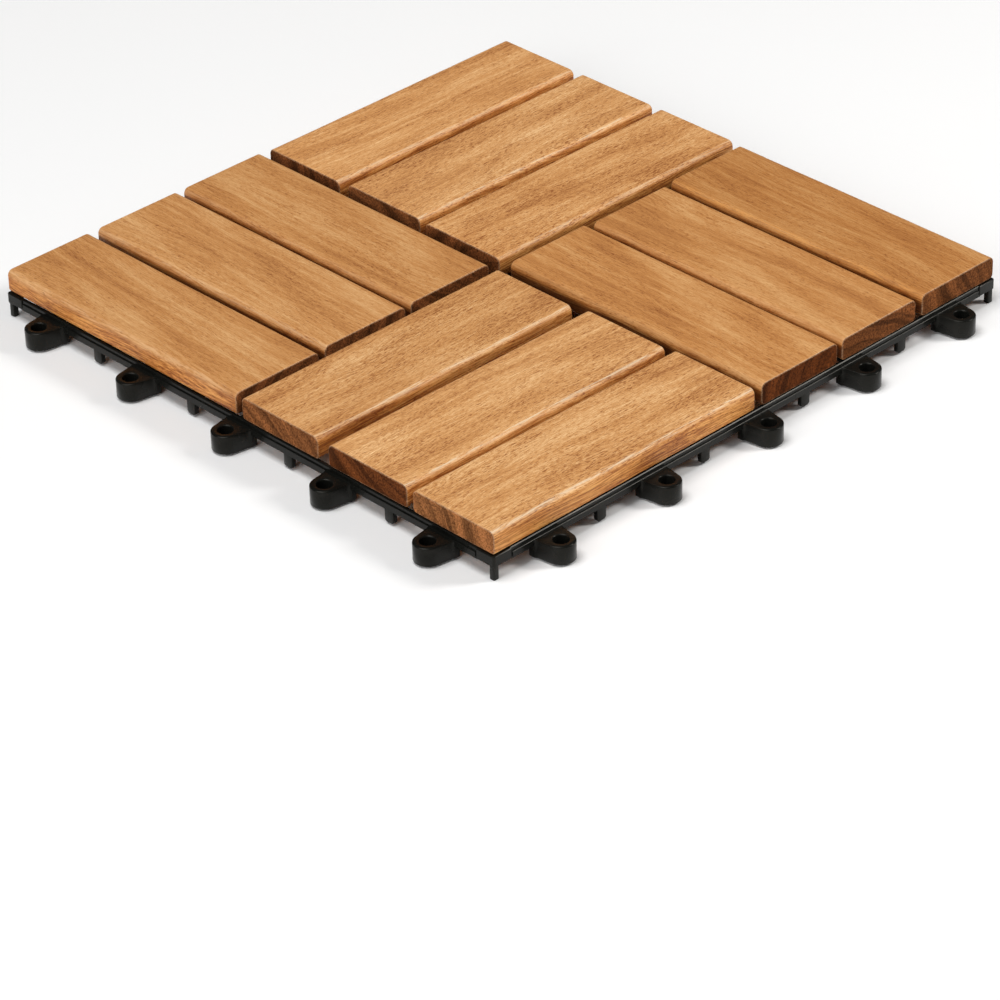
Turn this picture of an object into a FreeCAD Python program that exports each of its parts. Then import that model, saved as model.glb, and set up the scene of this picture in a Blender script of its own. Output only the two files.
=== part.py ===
"""Interlocking deck tile: twelve wooden slats screwed to one moulded grid.

The tile lies flat with +Z up. Its origin is the centre of the square, on the ground.
Loops stand out on the -Y and +X sides, and pins hang in sockets on the +Y and -X sides,
so that one tile's loops slip under the rail of the next and over its pins.
"""

import FreeCAD, Part
import math
import os
import Sketcher

V = FreeCAD.Vector
UP = V(0, 0, 1)

# Driving sizes in millimetres, and a few counts
SIZES = {
    "slats_per_quarter": 3,
    "screws_per_slat": 2,
    "slat_width": 46.2,
    "slat_thickness": 10.5,
    "slat_gap": 3.8,
    "slat_side_margin": 3.1,
    "slat_end_margin": 2.3,
    "slat_top_round": 2.7,
    "seat_height": 12.0,
    "rail_margin": 0.7,
    "grid_bottom": 6.6,
    "rail_wall": 2.4,
    "rail_corner_chamfer": 1.0,
    "ledge_height": 9.6,
    "lip_height": 11.5,
    "lip_setback": 0.6,
    "corner_block": 10.0,
    "rib_wall": 1.8,
    "bays_per_half": 5,
    "boss_width": 9.0,
    "screw_clearance": 0.2,
    "screw_diameter": 3.0,
    "screw_grip": 8.0,
    "screw_head_diameter": 6.6,
    "screw_head_height": 2.2,
    "pilot_clearance": 0.1,
    "pilot_spare": 0.5,
    "foot_length": 10.0,
    "hub_length": 16.0,
    "tab_width": 5.0,
    "tab_wall": 2.2,
    "tab_lift": 0.9,
    "tab_chamfer": 0.9,
    "leg_width": 2.7,
    "leg_setback": 0.55,
    "leg_chamfer": 0.6,
    "loop_hole_diameter": 6.5,
    "loop_hole_reach": 7.0,
    "loop_tip_wall": 2.95,
    "loop_root_width": 14.2,
    "loop_lift": 0.8,
    "loop_drop": 0.2,
    "pin_clearance": 0.25,
    "pin_lift": 1.3,
    "socket_side_clearance": 0.4,
    "socket_end_clearance": 1.3,
    "socket_top_clearance": 0.4,
    "socket_wall": 1.5,
}

# Places worked out from the driving sizes
PLACES = {
    "slat_pitch": "sizes.slat_width + sizes.slat_gap",
    "first_slat": "sizes.slat_side_margin + sizes.slat_width / 2",
    "slat_row": "(sizes.slats_per_quarter - 1) * slat_pitch",
    "slat_reach": "sizes.slat_side_margin + slat_row + sizes.slat_width",
    "half": "slat_reach + sizes.rail_margin",
    "bay": "half / sizes.bays_per_half",
    "side_count": "sizes.bays_per_half",
    "side_row": "2 * (side_count - 1) * bay",
    "between_count": "side_count - 1",
    "between_row": "side_row - 2 * bay",
    "screw_row": "between_row / 2",
    "rail_inside": "half - sizes.rail_wall",
    "lip_face": "half - sizes.lip_setback",
    "loop_top": "sizes.ledge_height - sizes.loop_drop",
    "loop_centre": "half + sizes.loop_hole_reach",
    "loop_tip_radius": "sizes.loop_hole_diameter / 2 + sizes.loop_tip_wall",
    "socket_ceiling": "loop_top + sizes.socket_top_clearance",
    "socket_half": "sizes.loop_root_width / 2 + sizes.socket_side_clearance",
    "socket_depth": "sizes.loop_hole_reach + loop_tip_radius + sizes.socket_end_clearance",
    "pin_radius": "sizes.loop_hole_diameter / 2 - sizes.pin_clearance",
    "pin_centre": "half - sizes.loop_hole_reach",
    "pilot_top": "sizes.grid_bottom + screw_length + sizes.pilot_spare",
    "screw_length": "sizes.seat_height - sizes.grid_bottom + sizes.screw_grip",
}

# Slats stand a little off their nominal place, as the screws left them: the first number is
# how far the slat sits away from the tile's centre line, the second how far its inner end
# stops short of the nominal end
QUARTERS = {
    "ne": {"turn": 0, "inner": (0.9, 0.4), "middle": (0.0, 1.8), "outer": (0.2, 0.2)},
    "nw": {"turn": 90, "inner": (-0.5, 0.3), "middle": (-0.3, 0.9), "outer": (0.0, -0.4)},
    "sw": {"turn": 180, "inner": (0.0, 0.6), "middle": (-0.5, 0.2), "outer": (0.0, -0.8)},
    "se": {"turn": 270, "inner": (-1.1, 1.7), "middle": (1.2, -0.4), "outer": (0.5, -1.8)},
}
ROWS = ("inner", "middle", "outer")

# The first place of a row along a side, as an expression
FIRST = "-places.side_row / 2"

# The screws and their holes repeat most, so they are six-sided to keep the mesh light: this is
# half the side of a hexagon as a share of half its width across the flats
HALF_SIDE = round(math.tan(math.pi / 6), 6)

doc = FreeCAD.newDocument("deck_tile")


def fill_sheet(name, cells):
    """Makes a spreadsheet with a name in column A and an aliased value in column B."""
    sheet = doc.addObject("Spreadsheet::Sheet", name)
    for row, (alias, value) in enumerate(cells.items(), start=1):
        sheet.set(f"A{row}", alias)
        sheet.set(f"B{row}", str(value))
        sheet.setAlias(f"B{row}", alias)
    return sheet


def new_body(label):
    """Starts a sub-part, whose label names its file."""
    body = doc.addObject("PartDesign::Body", label)
    body.Label = label
    return body


def origin_feature(body, role):
    """Gives a body's own origin plane or axis by its role."""
    return next(item for item in body.Origin.OriginFeatures if item.Role == role)


def new_sketch(body, name, plane="XY_Plane", away="0"):
    """Starts a sketch on one of the body's origin planes, shifted off the plane."""
    sketch = body.newObject("Sketcher::SketchObject", name)
    sketch.AttachmentSupport = [(origin_feature(body, plane), "")]
    sketch.MapMode = "FlatFace"
    sketch.setExpression("AttachmentOffset.Base.z", away)
    return sketch


def value_of(thing, expression):
    """Works an expression out as a plain number."""
    return float(thing.evalExpression(expression))


def place_point(sketch, line, end, across, up):
    """Ties one end of a sketch edge to two expressions."""
    for kind, axis, expression in (("DistanceX", -2, across), ("DistanceY", -1, up)):
        if expression == "0":
            sketch.addConstraint(Sketcher.Constraint("PointOnObject", line, end, axis))
            continue
        size = value_of(sketch, expression)
        index = sketch.addConstraint(Sketcher.Constraint(kind, -1, 1, line, end, size))
        sketch.setExpression(f"Constraints[{index}]", expression)


def outline(sketch, points):
    """Draws a closed outline of straight edges through points given as expressions."""
    places = [V(value_of(sketch, across), value_of(sketch, up), 0) for across, up in points]
    ends = places[1:] + places[:1]
    lines = [sketch.addGeometry(Part.LineSegment(a, b)) for a, b in zip(places, ends)]
    for line, following in zip(lines, lines[1:] + lines[:1]):
        sketch.addConstraint(Sketcher.Constraint("Coincident", line, 2, following, 1))
    for line, (across, up) in zip(lines, points):
        place_point(sketch, line, 1, across, up)


def rectangle(sketch, left, right, low, high):
    """Draws a rectangle between four expressions."""
    outline(sketch, [(left, low), (right, low), (right, high), (left, high)])


def circle(sketch, across, up, diameter):
    """Draws a circle with its centre and diameter bound to expressions."""
    centre = V(value_of(sketch, across), value_of(sketch, up), 0)
    radius = value_of(sketch, diameter) / 2
    ring = sketch.addGeometry(Part.Circle(centre, UP, radius))
    place_point(sketch, ring, 3, across, up)
    index = sketch.addConstraint(Sketcher.Constraint("Diameter", ring, 2 * radius))
    sketch.setExpression(f"Constraints[{index}]", diameter)


def hexagon(sketch, across, up, width):
    """Draws a hexagon of a given width across its flats."""
    flat = f"{width} / 2"
    side = f"{HALF_SIDE} * {width} / 2"
    points = [
        (f"{across} - {side}", f"{up} - {flat}"),
        (f"{across} + {side}", f"{up} - {flat}"),
        (f"{across} + 2 * {side}", up),
        (f"{across} + {side}", f"{up} + {flat}"),
        (f"{across} - {side}", f"{up} + {flat}"),
        (f"{across} - 2 * {side}", up),
    ]
    outline(sketch, points)


def settle(feature):
    """Recomputes, and stops with a plain message if the feature failed."""
    doc.recompute()
    if "Invalid" in feature.State or "Error" in feature.State or feature.Shape.isNull():
        raise RuntimeError(f"{feature.Label} did not build: {feature.getStatusString()}")
    return feature


def pad(body, name, sketch, length, midplane=False):
    """Adds material along the sketch's normal."""
    feature = body.newObject("PartDesign::Pad", name)
    feature.Profile = sketch
    feature.Midplane = midplane
    feature.setExpression("Length", length)
    return settle(feature)


def pocket(body, name, sketch, length):
    """Cuts upwards from the sketch, and makes sure that something was cut."""
    before = body.Tip.Shape.Volume
    feature = body.newObject("PartDesign::Pocket", name)
    feature.Profile = sketch
    feature.Reversed = True
    feature.setExpression("Length", length)
    settle(feature)
    if feature.Shape.Volume >= before:
        raise RuntimeError(f"{name} cuts nothing")
    return feature


def row_step(body, name, role, count, length):
    """One step of a pattern: copies in a row along an origin axis."""
    step = body.newObject("PartDesign::LinearPattern", name)
    step.Direction = (origin_feature(body, role), [""])
    step.setExpression("Length", length)
    step.setExpression("Occurrences", count)
    return step


def turn_step(body, name, count, angle):
    """One step of a pattern: copies turned about the tile's upright axis."""
    step = body.newObject("PartDesign::PolarPattern", name)
    step.Axis = (origin_feature(body, "Z_Axis"), [""])
    step.Angle = angle
    step.Occurrences = count
    return step


def repeat(body, name, steps, originals=()):
    """Repeats features, or the whole body, by rows and turns taken one after another."""
    pattern = body.newObject("PartDesign::MultiTransform", name)
    if originals:
        pattern.Originals = list(originals)
    else:
        pattern.TransformMode = "Whole shape"
    pattern.Transformations = [step(body) for step in steps]
    body.Tip = pattern
    return settle(pattern)


def along_side(body):
    """The places along a side, one at every second rib."""
    return row_step(body, "along_side", "X_Axis", "places.side_count", "places.side_row")


def between(body):
    """The places along a side that lie between those."""
    return row_step(body, "between", "X_Axis", "places.between_count", "places.between_row")


def screw_row(body):
    """The screws along one slat."""
    return row_step(body, "screw_row", "X_Axis", "sizes.screws_per_slat", "places.screw_row")


def slat_row(body):
    """The slats of one quarter."""
    return row_step(body, "slat_row", "Y_Axis", "sizes.slats_per_quarter", "places.slat_row")


def two_sides(body):
    """The next side round, a quarter turn on."""
    return turn_step(body, "two_sides", 2, 90)


def four_sides(body):
    """All four sides or quarters."""
    return turn_step(body, "four_sides", 4, 360)


def edges_where(feature, rule):
    """Names the edges of a feature that a rule picks."""
    edges = feature.Shape.Edges
    return [f"Edge{number}" for number, edge in enumerate(edges, start=1) if rule(edge)]


def is_level(edge, height):
    """Tells whether an edge lies at one height."""
    box = edge.BoundBox
    return abs(box.ZMin - height) < 1e-4 and abs(box.ZMax - height) < 1e-4


def is_upright(edge):
    """Tells whether an edge runs straight up."""
    box = edge.BoundBox
    return box.XLength < 1e-4 and box.YLength < 1e-4


def fillet(body, name, rule, radius):
    """Rounds the edges that the rule picks."""
    base = body.Tip
    feature = body.newObject("PartDesign::Fillet", name)
    feature.Base = (base, edges_where(base, rule))
    feature.setExpression("Radius", radius)
    return settle(feature)


def chamfer(body, name, rule, size):
    """Chamfers the edges that the rule picks."""
    base = body.Tip
    feature = body.newObject("PartDesign::Chamfer", name)
    feature.Base = (base, edges_where(base, rule))
    feature.setExpression("Size", size)
    return settle(feature)


def make_rail():
    """The square rail: a lip set back above a ledge, and a notch over each socket."""
    body = new_body("rail_form")
    sketch = new_sketch(body, "rail_outline", away="sizes.grid_bottom")
    rectangle(sketch, "-places.half", "places.half", "-places.half", "places.half")
    inside = "places.rail_inside"
    rectangle(sketch, f"-{inside}", inside, f"-{inside}", inside)
    pad(body, "rail", sketch, "sizes.lip_height - sizes.grid_bottom")
    half = value_of(body, "places.half")

    def is_corner(edge):
        return is_upright(edge) and abs(abs(edge.BoundBox.XMin) - half) < 1e-4

    chamfer(body, "rail_corners", is_corner, "sizes.rail_corner_chamfer")
    sketch = new_sketch(body, "lip_strip", away="sizes.ledge_height")
    end = "places.half - sizes.corner_block"
    outside = "-places.half - sizes.lip_setback"
    rectangle(sketch, f"-({end})", end, outside, "-places.lip_face")
    step = pocket(body, "lip_step", sketch, "sizes.lip_height - sizes.ledge_height")
    repeat(body, "lip_steps", [four_sides], [step])
    sketch = new_sketch(body, "notch_outline", away="sizes.grid_bottom")
    side = "places.socket_half"
    inner = "places.half - 2 * sizes.rail_wall"
    outer = "places.half + sizes.rail_wall"
    rectangle(sketch, f"{FIRST} - {side}", f"{FIRST} + {side}", inner, outer)
    notch = pocket(body, "notch", sketch, "places.socket_ceiling - sizes.grid_bottom")
    repeat(body, "notches", [along_side, two_sides], [notch])
    return body


def make_ribs(label, turn):
    """Ribs one way: every second one stops short at a socket, the others cross the grid."""
    body = new_body(label)
    side = "sizes.rib_wall / 2"
    inside = "places.rail_inside"
    depth = "sizes.lip_height - sizes.grid_bottom"
    sketch = new_sketch(body, "short_rib_outline", away="sizes.grid_bottom")
    end = "places.half - places.socket_depth - sizes.socket_wall / 2"
    rectangle(sketch, f"{FIRST} - {side}", f"{FIRST} + {side}", f"-{inside}", end)
    rib = pad(body, "short_rib", sketch, depth)
    repeat(body, "short_ribs", [along_side], [rib])
    sketch = new_sketch(body, "long_rib_outline", away="sizes.grid_bottom")
    middle = "-places.between_row / 2"
    rectangle(sketch, f"{middle} - {side}", f"{middle} + {side}", f"-{inside}", inside)
    rib = pad(body, "long_rib", sketch, depth)
    repeat(body, "long_ribs", [between], [rib])
    body.Placement = FreeCAD.Placement(V(), FreeCAD.Rotation(UP, turn))
    return body


def make_sockets():
    """Open-fronted sockets inside the rail, each with a pin for the next tile's loop."""
    body = new_body("socket_forms")
    outer = "(places.socket_half + sizes.socket_wall)"
    sketch = new_sketch(body, "socket_outline", away="sizes.grid_bottom")
    back = "places.half - places.socket_depth - sizes.socket_wall"
    front = "places.half - sizes.rail_wall / 2"
    rectangle(sketch, f"{FIRST} - {outer}", f"{FIRST} + {outer}", back, front)
    pad(body, "socket_shell", sketch, "sizes.lip_height - sizes.grid_bottom")
    sketch = new_sketch(body, "socket_space", away="sizes.grid_bottom")
    side = "places.socket_half"
    back = "places.half - places.socket_depth"
    rectangle(sketch, f"{FIRST} - {side}", f"{FIRST} + {side}", back, "places.half")
    pocket(body, "socket_room", sketch, "places.socket_ceiling - sizes.grid_bottom")
    sketch = new_sketch(body, "pin_outline", away="sizes.pin_lift")
    circle(sketch, FIRST, "places.pin_centre", "2 * places.pin_radius")
    pad(body, "pin", sketch, "sizes.lip_height - sizes.pin_lift")
    repeat(body, "sockets", [along_side, two_sides])
    return body


def loop_outline(sketch, middle):
    """Draws a loop's outline: straight root, sides that draw in, and a round tip."""
    x0 = value_of(sketch, middle)
    root = value_of(sketch, "sizes.loop_root_width") / 2
    face = -value_of(sketch, "places.half")
    inside = -value_of(sketch, "places.rail_inside")
    centre = V(x0, -value_of(sketch, "places.loop_centre"), 0)
    radius = value_of(sketch, "places.loop_tip_radius")
    # Each side meets the tip square to the tip's radius
    shoulder = V(root, face - centre.y, 0)
    turn = math.atan2(shoulder.y, shoulder.x) - math.acos(radius / shoulder.Length)
    touch = V(radius * math.cos(turn), radius * math.sin(turn), 0)
    root_left = V(x0 - root, inside, 0)
    root_right = V(x0 + root, inside, 0)
    shoulder_left = V(x0 - root, face, 0)
    shoulder_right = V(x0 + root, face, 0)
    touch_left = centre + V(-touch.x, touch.y, 0)
    touch_right = centre + touch
    chain = [
        Part.LineSegment(root_left, shoulder_left),
        Part.LineSegment(shoulder_left, touch_left),
        Part.ArcOfCircle(Part.Circle(centre, UP, radius), math.pi - turn, 2 * math.pi + turn),
        Part.LineSegment(touch_right, shoulder_right),
        Part.LineSegment(shoulder_right, root_right),
        Part.LineSegment(root_right, root_left),
    ]
    left_root, left_side, tip, right_side, right_root, back = sketch.addGeometry(chain)
    sketch.addConstraint(Sketcher.Constraint("Coincident", left_root, 2, left_side, 1))
    sketch.addConstraint(Sketcher.Constraint("Tangent", left_side, 2, tip, 1))
    sketch.addConstraint(Sketcher.Constraint("Tangent", tip, 2, right_side, 1))
    sketch.addConstraint(Sketcher.Constraint("Coincident", right_side, 2, right_root, 1))
    sketch.addConstraint(Sketcher.Constraint("Coincident", right_root, 2, back, 1))
    sketch.addConstraint(Sketcher.Constraint("Coincident", back, 2, left_root, 1))
    wide = "sizes.loop_root_width / 2"
    place_point(sketch, left_root, 1, f"{middle} - {wide}", "-places.rail_inside")
    place_point(sketch, left_root, 2, f"{middle} - {wide}", "-places.half")
    place_point(sketch, tip, 3, middle, "-places.loop_centre")
    place_point(sketch, right_root, 1, f"{middle} + {wide}", "-places.half")
    place_point(sketch, right_root, 2, f"{middle} + {wide}", "-places.rail_inside")
    index = sketch.addConstraint(Sketcher.Constraint("Radius", tip, radius))
    sketch.setExpression(f"Constraints[{index}]", "places.loop_tip_radius")


def make_loops():
    """Loops that stand out from the rail, each with its root carried in under the rail."""
    body = new_body("loop_forms")
    sketch = new_sketch(body, "loop_outline", away="sizes.loop_lift")
    loop_outline(sketch, FIRST)
    circle(sketch, FIRST, "-places.loop_centre", "sizes.loop_hole_diameter")
    pad(body, "loop", sketch, "places.loop_top - sizes.loop_lift")
    repeat(body, "loops", [along_side, two_sides])
    return body


def make_bosses():
    """Square bosses at the screw places, from under the ribs to where the slats lie."""
    body = new_body("boss_forms")
    sketch = new_sketch(body, "boss_outline", away="sizes.grid_bottom")
    wide = "sizes.boss_width / 2"
    left = f"places.bay - {wide}"
    low = f"places.first_slat - {wide}"
    rectangle(sketch, left, f"places.bay + {wide}", low, f"places.first_slat + {wide}")
    pad(body, "boss", sketch, "sizes.seat_height - sizes.grid_bottom")
    repeat(body, "bosses", [slat_row, screw_row, four_sides])
    return body


def make_screw_holes():
    """What the screw holes take out of the bosses."""
    body = new_body("screw_hole_forms")
    sketch = new_sketch(body, "hole_outline", away="sizes.grid_bottom")
    hole = "(sizes.screw_diameter + 2 * sizes.screw_clearance)"
    hexagon(sketch, "places.bay", "places.first_slat", hole)
    pad(body, "screw_hole", sketch, "sizes.seat_height - sizes.grid_bottom")
    repeat(body, "screw_holes", [slat_row, screw_row, four_sides])
    return body


def make_feet():
    """Blade feet that carry every second rib crossing down to the ground."""
    body = new_body("foot_forms")
    place = "2 * places.bay"
    arm = "sizes.foot_length / 2"
    side = "sizes.rib_wall / 2"
    sketch = new_sketch(body, "foot_outline")
    rectangle(sketch, f"{place} - {arm}", f"{place} + {arm}", f"-{side}", side)
    pad(body, "foot", sketch, "sizes.lip_height")
    steps = [
        lambda b: row_step(b, "foot_row", "X_Axis", "2", "2 * places.bay"),
        lambda b: row_step(b, "foot_rank", "Y_Axis", "2", "2 * places.bay"),
        four_sides,
    ]
    repeat(body, "feet", steps)
    return body


def make_hub():
    """The crossed foot in the middle of the tile."""
    body = new_body("hub_form")
    arm = "sizes.hub_length / 2"
    side = "sizes.rib_wall / 2"
    sketch = new_sketch(body, "hub_outline")
    rectangle(sketch, f"-{arm}", arm, f"-{side}", side)
    pad(body, "hub_blade", sketch, "sizes.lip_height")
    repeat(body, "hub", [two_sides])
    return body


def make_tabs():
    """Short tabs under the rail, level with its face and clear of the ground."""
    body = new_body("tab_forms")
    middle = "-places.between_row / 2"
    wide = "sizes.tab_width / 2"
    ease = "sizes.tab_chamfer"
    low = "sizes.tab_lift"
    points = [
        (f"{middle} - {wide}", "sizes.ledge_height"),
        (f"{middle} - {wide}", f"{low} + {ease}"),
        (f"{middle} - {wide} + {ease}", low),
        (f"{middle} + {wide} - {ease}", low),
        (f"{middle} + {wide}", f"{low} + {ease}"),
        (f"{middle} + {wide}", "sizes.ledge_height"),
    ]
    away = "places.half - sizes.tab_wall / 2"
    sketch = new_sketch(body, "tab_outline", plane="XZ_Plane", away=away)
    outline(sketch, points)
    pad(body, "tab", sketch, "sizes.tab_wall", midplane=True)
    repeat(body, "tabs", [between, four_sides])
    return body


def make_legs():
    """A slim leg under each corner of the rail."""
    body = new_body("leg_forms")
    far = "places.half - sizes.leg_setback"
    near = f"{far} - sizes.leg_width"
    sketch = new_sketch(body, "leg_outline")
    rectangle(sketch, near, far, near, far)
    pad(body, "leg", sketch, "sizes.ledge_height")
    chamfer(body, "leg_tip", lambda edge: is_level(edge, 0), "sizes.leg_chamfer")
    repeat(body, "legs", [four_sides])
    return body


def make_base():
    """The black moulded grid in one piece: its forms fused, then its screw holes cut."""
    forms = [
        make_rail(),
        make_ribs("rib_forms_along", 0),
        make_ribs("rib_forms_across", 90),
        make_sockets(),
        make_loops(),
        make_bosses(),
        make_feet(),
        make_hub(),
        make_tabs(),
        make_legs(),
    ]
    whole = doc.addObject("Part::MultiFuse", "grid_without_holes")
    whole.Shapes = forms
    settle(whole)
    base = doc.addObject("Part::Cut", "base_grid")
    base.Base = whole
    base.Tool = make_screw_holes()
    return settle(base)


def make_slat(quarter, row, turn, aside, short):
    """One slat, made in the first quarter and turned into its own."""
    body = new_body(f"slat_{quarter}_{ROWS[row]}")
    low = f"sizes.slat_side_margin + {row} * places.slat_pitch + {aside}"
    sketch = new_sketch(body, "slat_outline", away="sizes.seat_height")
    start = f"sizes.slat_end_margin + {short}"
    rectangle(sketch, start, "places.slat_reach", low, f"{low} + sizes.slat_width")
    pad(body, "slat", sketch, "sizes.slat_thickness")
    top = value_of(body, "sizes.seat_height + sizes.slat_thickness")

    def is_long_top(edge):
        return is_level(edge, top) and edge.BoundBox.YLength < 1e-4

    fillet(body, "top_rounds", is_long_top, "sizes.slat_top_round")
    sketch = new_sketch(body, "pilot_outline", away="sizes.seat_height")
    pilot = "(sizes.screw_diameter + 2 * sizes.pilot_clearance)"
    hexagon(sketch, "places.bay", f"places.first_slat + {row} * places.slat_pitch", pilot)
    hole = pocket(body, "pilot_hole", sketch, "places.pilot_top - sizes.seat_height")
    repeat(body, "pilot_holes", [screw_row], [hole])
    body.Placement = FreeCAD.Placement(V(), FreeCAD.Rotation(UP, turn))
    return body


def make_screws():
    """Twenty-four screws with their heads under the bosses and their shanks in the slats."""
    body = new_body("slat_screws")
    sketch = new_sketch(body, "shank_outline", away="sizes.grid_bottom")
    hexagon(sketch, "places.bay", "places.first_slat", "sizes.screw_diameter")
    pad(body, "shank", sketch, "places.screw_length")
    low = "sizes.grid_bottom - sizes.screw_head_height"
    sketch = new_sketch(body, "head_outline", away=low)
    hexagon(sketch, "places.bay", "places.first_slat", "sizes.screw_head_diameter")
    pad(body, "head", sketch, "sizes.screw_head_height")
    repeat(body, "screws", [slat_row, screw_row, four_sides])
    return body


def check_document():
    """Stops with a plain message where an object failed to build."""
    for item in doc.Objects:
        if "Invalid" in item.State or "Error" in item.State:
            raise RuntimeError(f"{item.Label} did not build: {item.State}")


def write_parts(bodies):
    """Checks each sub-part and writes it to a file that its label names."""
    os.makedirs("parts", exist_ok=True)
    for body in bodies:
        if body.Shape.isNull() or not body.Shape.isValid():
            raise RuntimeError(f"{body.Label} has no valid shape")
    for body in bodies:
        body.Shape.exportStep(f"parts/{body.Label}.step")
        solids = len(body.Shape.Solids)
        print(f"{body.Label}: {solids} solid(s), {body.Shape.Volume:.1f} mm3")


fill_sheet("sizes", SIZES)
fill_sheet("places", {alias: f"={formula}" for alias, formula in PLACES.items()})
doc.recompute()
pieces = [make_base()]
for quarter, facts in QUARTERS.items():
    for row, name in enumerate(ROWS):
        pieces.append(make_slat(quarter, row, facts["turn"], *facts[name]))
pieces.append(make_screws())
doc.recompute()
check_document()
write_parts(pieces)
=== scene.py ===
"""Looks of the interlocking deck tile: oiled wooden slats on a black moulded grid.

Lengths are in millimetres in the mesh code and are turned into metres as each piece is made.
"""

import math
from itertools import product

import bmesh
import bpy
from mathutils import Matrix, Vector, noise


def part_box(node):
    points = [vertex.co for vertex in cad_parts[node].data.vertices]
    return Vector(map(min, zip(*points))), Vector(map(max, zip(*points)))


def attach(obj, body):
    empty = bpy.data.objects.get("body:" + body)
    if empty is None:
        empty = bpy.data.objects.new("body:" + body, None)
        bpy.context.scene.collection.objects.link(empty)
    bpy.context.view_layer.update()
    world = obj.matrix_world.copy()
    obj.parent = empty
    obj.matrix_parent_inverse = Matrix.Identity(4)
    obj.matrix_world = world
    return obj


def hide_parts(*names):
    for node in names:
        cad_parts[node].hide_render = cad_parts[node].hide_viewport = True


MM = 0.001
QUARTER_TURNS = (0, 90, 180, 270)

# The grid's sizes, as in the CAD part
HALF = 150.0
GRID_BOTTOM = 6.6
LEDGE_HEIGHT = 9.6
LIP_HEIGHT = 11.5
LIP_SETBACK = 0.6
RAIL_WALL = 2.4
CORNER_BLOCK = 10.0
RIB_WALL = 1.8
SEAT_HEIGHT = 12.0
BOSS_RADIUS = 4.5
SCREW_HOLE_RADIUS = 1.7
SLAT_LINES = (26.2, 76.2, 126.2)
SCREW_PLACES = (30.0, 120.0)
SIDE_PLACES = (-120.0, -60.0, 0.0, 60.0, 120.0)
TAB_PLACES = (-90.0, -30.0, 30.0, 90.0)
FOOT_PLACES = (60.0, 120.0)
LOOP_LOW = 0.8
LOOP_TOP = 9.4
LOOP_REACH = 7.0
LOOP_TIP_RADIUS = 6.2
LOOP_HOLE_RADIUS = 3.25
LOOP_ROOT_HALF = 7.1
SOCKET_HALF = 7.5
SOCKET_DEPTH = 14.5
SOCKET_WALL = 1.5
SOCKET_CEILING = 9.8
PIN_RADIUS = 3.0
PIN_LOW = 1.3
PIN_TOP = LIP_HEIGHT - 0.3
PIN_SIDES = 24
CORNER_ROUND = 1.2
GROOVE = 0.5
GROOVE_FLOOR = 7.6
GROOVE_SETBACK = 0.05
TAB_HALF = 2.5
TAB_DEPTH = 2.2
TAB_LOW = 0.9
TAB_CUT = 0.9
TAB_SETBACK = 0.04
BOSS_SIDES = 32
FOOT_HALF = 5
FOOT_TOP = LIP_HEIGHT - 0.4
HUB_HALF = 8
LEG_WIDTH = 2.7
LEG_SETBACK = 0.55
SCREW_HEAD_HEIGHT = 2.2
SCREW_SIDES = 32

# How far the pieces of the grid run into each other
OVERLAP = 0.5

# How far their edges are eased
CORNER_EASE = 0.3
LIP_EASE = 0.32
LEDGE_EASE = 0.1
RIB_EASE = 0.2
TAB_EASE = 0.2
FOOT_EASE = 0.3
LEG_EASE = 0.5
PIN_EASE = 0.5

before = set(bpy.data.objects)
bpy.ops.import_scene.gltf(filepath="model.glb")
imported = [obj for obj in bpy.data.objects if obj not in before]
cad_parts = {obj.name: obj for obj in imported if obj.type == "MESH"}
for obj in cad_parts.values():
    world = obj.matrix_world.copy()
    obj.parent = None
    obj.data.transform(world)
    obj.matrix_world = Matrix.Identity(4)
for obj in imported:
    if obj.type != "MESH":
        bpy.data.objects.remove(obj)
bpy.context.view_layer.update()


def turned(degrees):
    """A turn about the tile's upright axis."""
    return Matrix.Rotation(math.radians(degrees), 4, "Z")


def add_ring(mesh, turn, points):
    """Adds a vertex at each point, turned about the tile's centre."""
    move = turned(turn)
    return [mesh.verts.new(move @ Vector(point)) for point in points]


def make_piece(name, mesh, material, smooth_angle=38):
    """Turns a mesh in millimetres into a piece in metres that rides on the root body."""
    mesh.transform(Matrix.Scale(MM, 4))
    bmesh.ops.recalc_face_normals(mesh, faces=mesh.faces)
    data = bpy.data.meshes.new(name)
    mesh.to_mesh(data)
    mesh.free()
    for polygon in data.polygons:
        polygon.use_smooth = True
    data.set_sharp_from_angle(angle=math.radians(smooth_angle))
    data.materials.append(material)
    piece = bpy.data.objects.new(name, data)
    bpy.context.scene.collection.objects.link(piece)
    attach(piece, "root")
    return piece


def edges_of(faces):
    """The edges of some faces, each once and in the order of the faces."""
    return list(dict.fromkeys(edge for face in faces for edge in face.edges))


def add_prism(mesh, outline, low, high, ease, turn, sharp=25, segments=2):
    """Adds an upright prism with eased edges, turned about the tile's centre."""
    rings = [add_ring(mesh, turn, [(x, y, height) for x, y in outline]) for height in (low, high)]
    count = len(outline)
    faces = [mesh.faces.new(list(reversed(rings[0]))), mesh.faces.new(rings[1])]
    for i in range(count):
        j = (i + 1) % count
        faces.append(mesh.faces.new((rings[0][i], rings[0][j], rings[1][j], rings[1][i])))
    mesh.normal_update()
    limit = math.radians(sharp)
    edges = [edge for edge in edges_of(faces) if edge.calc_face_angle(0) > limit]
    if ease:
        bmesh.ops.bevel(mesh, geom=edges, offset=ease, segments=segments, profile=0.6, affect="EDGES")


def add_block(mesh, left, right, near, far, low, high, ease, turn, segments=2):
    """Adds an eased block between six planes."""
    outline = [(left, near), (right, near), (right, far), (left, far)]
    add_prism(mesh, outline, low, high, ease, turn, segments=segments)


def arc(centre, radius, start, end, steps):
    """Points along an arc, with its angles in degrees."""
    angles = [math.radians(start + (end - start) * i / steps) for i in range(steps + 1)]
    return [(centre[0] + radius * math.cos(a), centre[1] + radius * math.sin(a)) for a in angles]


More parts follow.
